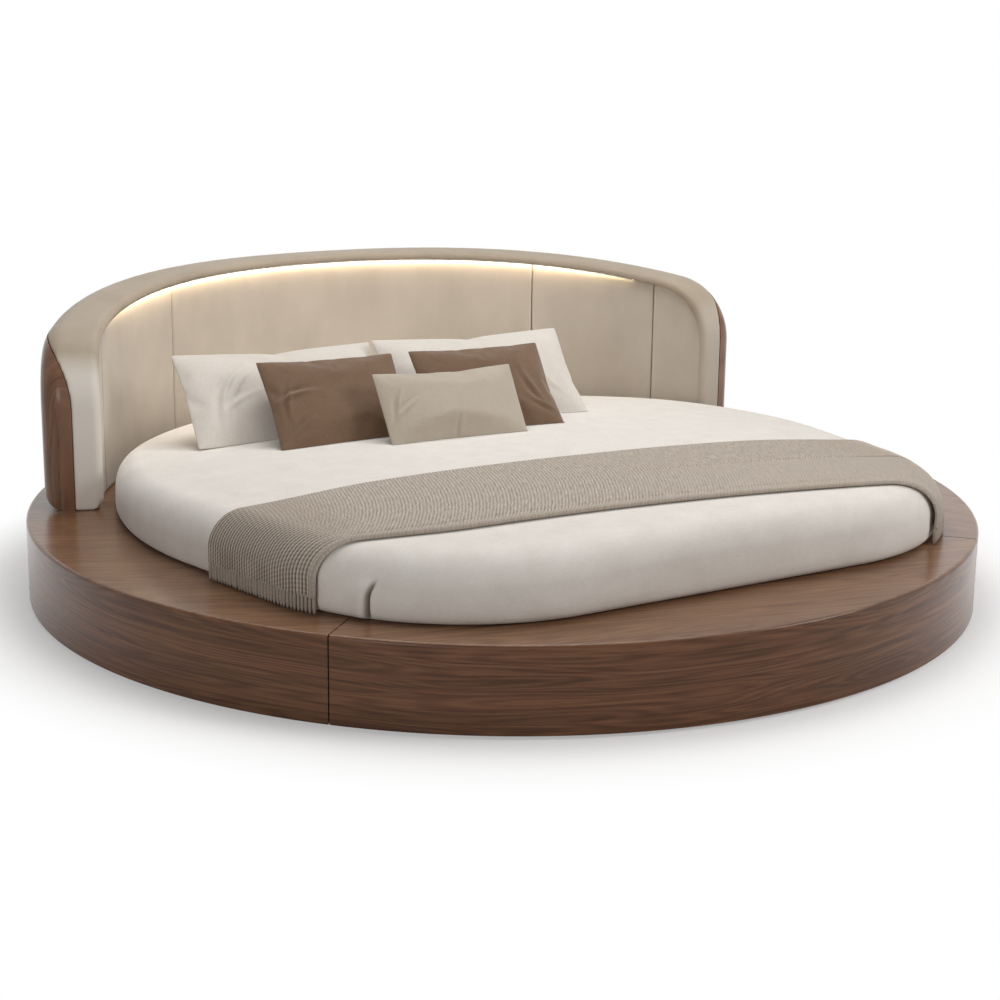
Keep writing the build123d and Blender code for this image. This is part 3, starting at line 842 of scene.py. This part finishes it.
def make_throw():
    """The knitted throw: a ribbed sheet with a rolled near hem, over the mattress and down both sides."""
    width = THROW_FAR_Y - THROW_NEAR_Y
    hem_places, body_places = np.linspace(0, HEM_WIDTH, 13)[:-1], np.arange(HEM_WIDTH, width, RIB_PITCH / 6)
    across = np.concatenate([hem_places, body_places, [width]])
    rows, columns = len(across), THROW_POINTS
    centre, walks = [], []
    for place in across:
        points, walked = draped_line(place / width, THROW_REST, FRINGE_LENGTH, columns)
        centre.append(points)
        walks.append(walked - walked[-1] / 2)
    centre, walks = np.array(centre), np.array(walks)
    along = np.gradient(centre, axis=1)
    over = np.gradient(centre, axis=0)
    normal = np.cross(along, over)
    normal /= np.linalg.norm(normal, axis=2, keepdims=True)
    normal *= np.sign(normal[:, columns // 2, 2])[:, None, None]
    rounded = np.sqrt(np.clip(1 - (1 - np.clip(across / (HEM_WIDTH / 2), 0, 2)) ** 2, 0, 1))
    near_half = across < HEM_WIDTH / 2
    hem_top = 1 - HEM_UNDER_SHARE + HEM_UNDER_SHARE * rounded
    hem = HEM_THICKNESS * np.where(near_half, hem_top, rounded)
    under = np.where(near_half, HEM_THICKNESS * HEM_UNDER_SHARE * (1 - rounded), 0)
    far_edge = np.clip((width - across) / FAR_EDGE_ROUND, 0.05, 1) ** 0.5
    rib = RIB_HEIGHT * 0.5 * (1 + np.cos(2 * math.pi * across / RIB_PITCH)) * (across > HEM_WIDTH)
    thickness = np.maximum(hem, np.where(near_half, 0, THROW_THICKNESS)) * far_edge
    hanging = smooth_step(*HANG_FADE, np.abs(walks))
    band = (across > HEM_WIDTH) & (across < BAND_FAR_EDGE)
    smooth = BAND_SMOOTH * smooth_step(-0.2, 0.5, walks) * band[:, None]
    smooth = np.maximum(smooth, HEM_SMOOTH * (across < HEM_WIDTH * 1.1)[:, None])
    near_groove = np.exp(-((across - NEAR_GROOVE) / NEAR_GROOVE_WIDTH) ** 2)[:, None]
    far_groove = np.exp(-((across - FAR_GROOVE) / FAR_GROOVE_WIDTH) ** 2)[:, None]
    groove = near_groove + far_groove * smooth_step(-0.5, 0.3, walks)
    depth = (0.12 + 0.88 * hanging) * (1 - smooth)
    top = thickness[:, None] + rib[:, None] * depth + CALM_RISE * (1 - depth) - GROOVE_DEPTH * groove
    every = 6
    ripple = [[wander(a * 9, b * 2.5, 0, 5) for b in row[::every]] for a, row in zip(across, walks)]
    coarse, fine = np.arange(0, columns, every), np.arange(columns)
    ripple = np.array([np.interp(fine, coarse, row) for row in ripple])
    top = np.maximum(top + THROW_RIPPLE * ripple * (across > HEM_WIDTH)[:, None], THROW_LEAST)
    upper = centre + normal * top[:, :, None]
    lower = centre + normal * under[:, None, None]
    vertices = np.vstack([upper.reshape(-1, 3), lower.reshape(-1, 3)])
    half = rows * columns
    faces = grid_faces(rows, columns)
    faces += grid_faces(rows, columns, half, flip=True)
    for row in range(rows - 1):
        for column in (0, columns - 1):
            a, b = row * columns + column, (row + 1) * columns + column
            faces.append((a, b, b + half, a + half) if column == 0 else (b, a, a + half, b + half))
    for row in (0, rows - 1):
        for column in range(columns - 1):
            a, b = row * columns + column, row * columns + column + 1
            faces.append((b, a, a + half, b + half) if row == 0 else (a, b, b + half, a + half))
    obj = new_piece("throw", vertices, faces, "taupe_knit")
    fix_normals(obj)
    flat = np.stack([np.broadcast_to(across[:, None], walks.shape), walks, smooth], axis=2).reshape(-1, 3)
    set_flat_places(obj, np.vstack([flat, flat]))
    settle(obj, "throw", "taupe_knit", "throw_blanket")
    fringe = make_fringe(centre, normal)


def make_fringe(centre, normal):
    """Short twisted tassels along both ends of the throw."""
    vertices, faces, flats = [], [], []
    sides, steps = FRINGE_SIDES, FRINGE_STEPS
    for end in (0, -1):
        line, out = centre[:, end], normal[:, end]
        walked = np.concatenate([[0], np.cumsum(np.linalg.norm(np.diff(line, axis=0), axis=1))])
        for index, place in enumerate(np.arange(FRINGE_PITCH / 2, walked[-1], FRINGE_PITCH)):
            top = Vector([np.interp(place, walked, line[:, k]) for k in range(3)])
            away = Vector([np.interp(place, walked, out[:, k]) for k in range(3)]).normalized()
            side = away.cross(Vector((0, 0, 1))).normalized()
            sway = FRINGE_SWAY * wander(index * 0.9, end, 0, 6)
            length = FRINGE_LENGTH - FRINGE_SHORTER + FRINGE_UNEVEN * abs(wander(index * 1.7, end, 3, 6))
            length = min(length, FRINGE_LENGTH - FRINGE_CLEAR)
            start = len(vertices)
            for step in range(steps):
                share = step / (steps - 1)
                thick = FRINGE_RADIUS * (0.82 + 0.22 * math.sin(math.pi * share))
                thick *= 1 if step < steps - 1 else 0.6
                height = FRINGE_ROOT - (length + FRINGE_ROOT) * share
                middle = top + Vector((0, 0, height)) + side * sway * share
                middle += away * (FRINGE_RADIUS * 0.9 + CONTACT_GAP)
                for turn in range(sides):
                    angle = 2 * math.pi * (turn / sides) + 3 * share
                    lobe = thick * (1 + 0.10 * math.cos(2 * angle))
                    out_part, side_part = away * (math.cos(angle) * lobe), side * (math.sin(angle) * lobe)
                    vertices.append(middle + out_part + side_part)
                    flats.append((RIB_PITCH * (0.5 + 0.35 * math.sin(angle)), place + share * length, 1.0))
            faces += grid_faces(steps, sides, start, closed=True)
            faces.append(tuple(range(start, start + sides))[::-1])
            last = start + (steps - 1) * sides
            faces.append(tuple(range(last, last + sides)))
    obj = new_piece("throw_fringe", vertices, faces, "taupe_knit")
    fix_normals(obj)
    set_flat_places(obj, flats)
    return settle(obj, "throw", "taupe_knit")


# Pillows

def sewn_case(width, height):
    """Two flat layers joined along their edge, a little apart in the middle."""
    columns = CASE_CELLS
    rows = round(CASE_CELLS * height / width)
    xs, zs = np.linspace(-0.5, 0.5, columns + 1), np.linspace(-0.5, 0.5, rows + 1)
    index, vertices = {}, []
    for layer in (-1, 1):
        for i, x in enumerate(xs):
            for j, z in enumerate(zs):
                rim = i in (0, columns) or j in (0, rows)
                if rim and layer == 1:
                    index[1, i, j] = index[-1, i, j]
                    continue
                index[layer, i, j] = len(vertices)
                bulge = 0.0 if rim else CASE_GAP * layer
                vertices.append((x * width, bulge, z * height))
    faces = []
    for layer in (-1, 1):
        for i in range(columns):
            for j in range(rows):
                corners = ((i, j), (i + 1, j), (i + 1, j + 1), (i, j + 1))
                quad = tuple(index[layer, a, b] for a, b in corners)
                faces.append(quad if layer == -1 else quad[::-1])
    return vertices, faces


def inflate(obj):
    """Blows a sewn case up with cloth simulation and keeps the result."""
    cloth = obj.modifiers.new("cloth", "CLOTH")
    settings = cloth.settings
    settings.quality = 6
    settings.mass = 0.25
    settings.tension_stiffness = 25
    settings.compression_stiffness = 25
    settings.shear_stiffness = 12
    settings.bending_stiffness = 0.6
    settings.use_pressure = True
    settings.uniform_pressure_force = PILLOW_PRESSURE
    settings.effector_weights.gravity = 0
    cloth.collision_settings.use_collision = False
    cloth.point_cache.frame_start = 1
    cloth.point_cache.frame_end = PILLOW_FRAMES
    scene = bpy.context.scene
    for number in range(1, PILLOW_FRAMES + 1):
        scene.frame_set(number)
    apply_modifiers(obj)
    scene.frame_set(1)


# Folds of each front: place as shares of the case, direction in degrees, length, breadth and rise
WRINKLES = {
    "pillow_white_left": ((-0.30, 0.02, 60, 0.085, 0.012, 0.006), (-0.25, 0.03, 55, 0.07, 0.010, 0.005),
                          (-0.27, -0.12, 30, 0.06, 0.010, 0.003)),
    "pillow_white_right": ((0.27, -0.02, 115, 0.08, 0.012, 0.004), (0.22, -0.13, 150, 0.06, 0.010, 0.003)),
    "cushion_brown_left": ((-0.36, 0.02, 75, 0.055, 0.009, 0.005), (-0.30, 0.06, 12, 0.050, 0.009, 0.005),
                           (-0.32, -0.30, 40, 0.04, 0.008, 0.003)),
    "cushion_brown_right": ((0.30, -0.05, 110, 0.06, 0.010, 0.004), (0.34, -0.25, 150, 0.04, 0.008, 0.003)),
    "cushion_beige": ((-0.38, 0.05, 70, 0.045, 0.008, 0.004), (-0.35, -0.05, 40, 0.040, 0.007, 0.004),
                      (0.00, -0.34, 80, 0.040, 0.007, 0.003)),
}


def fold_height(points, width, height, folds):
    """Raised creases on a pillow's front, each with a hollow beside it."""
    total = np.zeros(len(points))
    for share_x, share_z, degrees, length, breadth, rise in folds:
        angle = math.radians(degrees)
        dx, dz = points[:, 0] - share_x * width, points[:, 2] - share_z * height
        along = dx * math.cos(angle) + dz * math.sin(angle)
        aside = dz * math.cos(angle) - dx * math.sin(angle) + FOLD_BEND * along ** 2
        ridge = np.exp(-(aside / breadth) ** 2) - 0.7 * np.exp(-((aside - 1.6 * breadth) / breadth) ** 2)
        total += FOLD_STRENGTH * rise * ridge * np.exp(-(along / length) ** 2)
    return total


def make_pillow(name, slot):
    """A pillow or cushion: a sewn case blown up, creased, and leaning back on the mattress."""
    width, height, front, back, x, y, lean = PILLOWS[name]
    vertices, faces = sewn_case(width, height)
    obj = new_piece(name + "_soft", vertices, faces, slot)
    inflate(obj)
    points = get_points(obj)
    low, high = points.min(axis=0), points.max(axis=0)
    points[:, 0] = (points[:, 0] - (low[0] + high[0]) / 2) * width / (high[0] - low[0])
    points[:, 2] = (points[:, 2] - (low[2] + high[2]) / 2) * height / (high[2] - low[2])
    points[:, 1] = np.where(points[:, 1] < 0, points[:, 1] / -low[1] * front, points[:, 1] / high[1] * back)
    sewn = np.array(vertices)
    points[:, 0] = sewn[:, 0] + (points[:, 0] - sewn[:, 0]) * PILLOW_DRAW
    end_draw = np.where(sewn[:, 2] > 0, PILLOW_TOP_DRAW, PILLOW_FOOT_DRAW)
    points[:, 2] = sewn[:, 2] + (points[:, 2] - sewn[:, 2]) * end_draw
    set_points(obj, points)
    smooth = obj.modifiers.new("subdivide", "SUBSURF")
    smooth.levels = smooth.render_levels = 2
    apply_modifiers(obj)
    points = get_points(obj)
    on_front = np.clip(-points[:, 1] / (FOLD_EDGE_SHARE * front), 0, 1)
    points[:, 1] -= fold_height(points, width, height, WRINKLES[name]) * on_front
    set_points(obj, points)
    rest = float(mattress_height(np.array([x]), np.array([y]))[0]) - PILLOW_SINK
    stand = (Matrix.Translation((x, y, rest)) @ Matrix.Rotation(PILLOW_SKEW, 4, "Z")
             @ Matrix.Rotation(math.radians(-lean), 4, "X") @ Matrix.Translation((0, 0, height / 2)))
    press_on_mattress(obj, stand)
    obj.matrix_world = stand
    settle(obj, name + "_body", slot, name)


def press_on_mattress(obj, stand):
    """The foot of a pillow goes flat where it rests on the mattress."""
    back = stand.inverted()
    world = np.array([stand @ v.co for v in obj.data.vertices])
    floor = mattress_height(world[:, 0], world[:, 1]) + CONTACT_GAP
    low = world[:, 2] < floor
    world[low, 2] = floor[low]
    for vertex, point in zip(obj.data.vertices, world):
        vertex.co = back @ Vector(point)


# Upholstery

def soft_copy(node, slot, voxel, passes, shape=None):
    """A solid of the frame as a padded form: one skin with its edges drawn round."""
    obj = add_object(node + "_pad", frame["nodes"][node].data.copy())
    weld = obj.modifiers.new("weld", "WELD")
    weld.merge_threshold = 0.00005
    remesh = obj.modifiers.new("remesh", "REMESH")
    remesh.mode = "VOXEL"
    remesh.voxel_size = voxel
    if shape:
        apply_modifiers(obj)
        for vertex in obj.data.vertices:
            vertex.co = shape(vertex.co)
    smooth = obj.modifiers.new("smooth", "SMOOTH")
    smooth.factor = 0.5
    smooth.iterations = passes
    apply_modifiers(obj)
    dress(obj, MATERIALS[slot])
    settle(obj, "bed_frame", slot, node)


def round_foot(place):
    """Draws in the low inner corner of the rim's ends to a quarter circle."""
    reach = math.hypot(place.x, place.y)
    centre_reach, centre_z = LIP_RADIUS + RIM_FOOT_ROUND, DECK_TOP + RIM_FOOT_ROUND
    inward, down = centre_reach - reach, centre_z - place.z
    if inward <= 0 or down <= 0:
        return place
    share = max(inward, down) / math.hypot(inward, down)
    spread = (centre_reach - inward * share) / reach
    return Vector((place.x * spread, place.y * spread, centre_z - down * share))


def make_upholstery():
    for place in ("centre", "inner_left", "inner_right", "outer_left", "outer_right"):
        soft_copy("panel_" + place, "greige_panel", PANEL_VOXEL, PANEL_PASSES)
    soft_copy("rim_bumper", "greige_upholstery", RIM_VOXEL, RIM_PASSES, round_foot)


# Studio

# Camera: angles in degrees, lens and sensor in millimetres
CAMERA_PLACE = Vector((-3.0962, -4.9549, 1.7320))
CAMERA_HEADING = -31.924
CAMERA_PITCH = -14.458
CAMERA_ROLL = 0.712
CAMERA_LENS = 72
CAMERA_SENSOR = 36

# Lights: place, what they face, size, watts and colour
LIGHTS = {
    "overhead": ((0.2, 0.4, 4.2), (0, 0, 0.3), 4.0, 150, (1.0, 0.995, 0.985)),
    "key": ((3.5, -4.0, 3.2), (0, 0.2, 0.4), 2.4, 145, (1, 1, 1)),
    "left_low": ((-4.8, -3.6, 1.5), (-1.0, 0.3, 0.4), 1.6, 62, (1, 1, 1)),
}
WORLD_TONE = (1, 0.99, 0.97, 1)
WORLD_STRENGTH = 0.05
WHITE = (1, 1, 1, 1)
FLOOR_REACH = 40
FLOOR_FADE = (1.42, 1.76)
FLOOR_LEAST_WHITE = 0.35


def make_camera():
    data = bpy.data.cameras.new("camera")
    data.lens = CAMERA_LENS
    data.sensor_width = CAMERA_SENSOR
    camera = add_object("camera", data)
    camera.matrix_world = (
        Matrix.Translation(CAMERA_PLACE)
        @ Matrix.Rotation(math.radians(CAMERA_HEADING), 4, "Z")
        @ Matrix.Rotation(math.radians(90 + CAMERA_PITCH), 4, "X")
        @ Matrix.Rotation(math.radians(CAMERA_ROLL), 4, "Z")
    )
    bpy.context.scene.camera = camera


def area_light(name, place, aim, size, watts, colour):
    data = bpy.data.lights.new(name, "AREA")
    data.shape = "DISK"
    data.size = size
    data.energy = watts
    data.color = colour
    lamp = add_object(name, data)
    lamp.location = place
    lamp.rotation_euler = (Vector(aim) - Vector(place)).to_track_quat("-Z", "Y").to_euler()


def make_floor():
    """A wide pale floor that shows white to the camera and keeps the bed's shadow."""
    mesh = bpy.data.meshes.new("floor")
    corners = [(x * FLOOR_REACH, y * FLOOR_REACH, 0) for x, y in ((-1, -1), (1, -1), (1, 1), (-1, 1))]
    mesh.from_pydata(corners, [], [(0, 1, 2, 3)])
    floor = add_object("floor", mesh)
    shader = Shader("floor")
    cloud = shader.noise(shader.place(), 0.7, 3.0)
    tone = shader.mix(cloud, srgb(247, 246, 245), srgb(244, 243, 242))
    shader.finish(Base_Color=tone, Roughness=0.75, Specular_IOR_Level=0.1)
    x, y = shader.split(shader.place())[:2]
    far = shader.mapped(shader.reach(x, y), *FLOOR_FADE, FLOOR_LEAST_WHITE)
    white = shader.add("ShaderNodeEmission", {"Strength": 1.0})
    share = shader.times(seen_directly(shader.tree), far)
    blend = shader.add("ShaderNodeMixShader", {0: share, 1: shader.surface.outputs[0], 2: white.outputs[0]})
    shader.link(blend.outputs[0], shader.tree.nodes["Material Output"].inputs["Surface"])
    dress(floor, shader.material)


def seen_directly(tree):
    """1 for what the camera sees, also in a reflection or through something clear."""
    path = tree.nodes.new("ShaderNodeLightPath")
    total = path.outputs["Is Camera Ray"]
    for name in ("Is Glossy Ray", "Is Transmission Ray"):
        either = tree.nodes.new("ShaderNodeMath")
        either.operation = "MAXIMUM"
        tree.links.new(total, either.inputs[0])
        tree.links.new(path.outputs[name], either.inputs[1])
        total = either.outputs[0]
    return total


def make_world():
    """Faint even light on the bed, and plain white behind it."""
    world = bpy.data.worlds.new("studio")
    bpy.context.scene.world = world
    world.use_nodes = True
    tree = world.node_tree
    light = tree.nodes["Background"]
    light.inputs["Color"].default_value = WORLD_TONE
    light.inputs["Strength"].default_value = WORLD_STRENGTH
    white = tree.nodes.new("ShaderNodeBackground")
    white.inputs["Color"].default_value = WHITE
    white.inputs["Strength"].default_value = 1.0
    mix = tree.nodes.new("ShaderNodeMixShader")
    tree.links.new(seen_directly(tree), mix.inputs[0])
    tree.links.new(light.outputs[0], mix.inputs[1])
    tree.links.new(white.outputs[0], mix.inputs[2])
    tree.links.new(mix.outputs[0], tree.nodes["World Output"].inputs["Surface"])


def make_studio():
    make_camera()
    make_floor()
    make_world()
    for name, settings in LIGHTS.items():
        area_light(name, *settings)


# Assembly

dress_frame()
make_mattress()
make_core()
make_throw()
for pillow_name, pillow_slot in (
    ("pillow_white_left", "white_linen"), ("pillow_white_right", "white_linen"),
    ("cushion_brown_left", "brown_linen"), ("cushion_brown_right", "brown_linen"),
    ("cushion_beige", "beige_linen"),
):
    make_pillow(pillow_name, pillow_slot)
make_upholstery()
make_studio()

bpy.context.scene.view_settings.view_transform = "Standard"
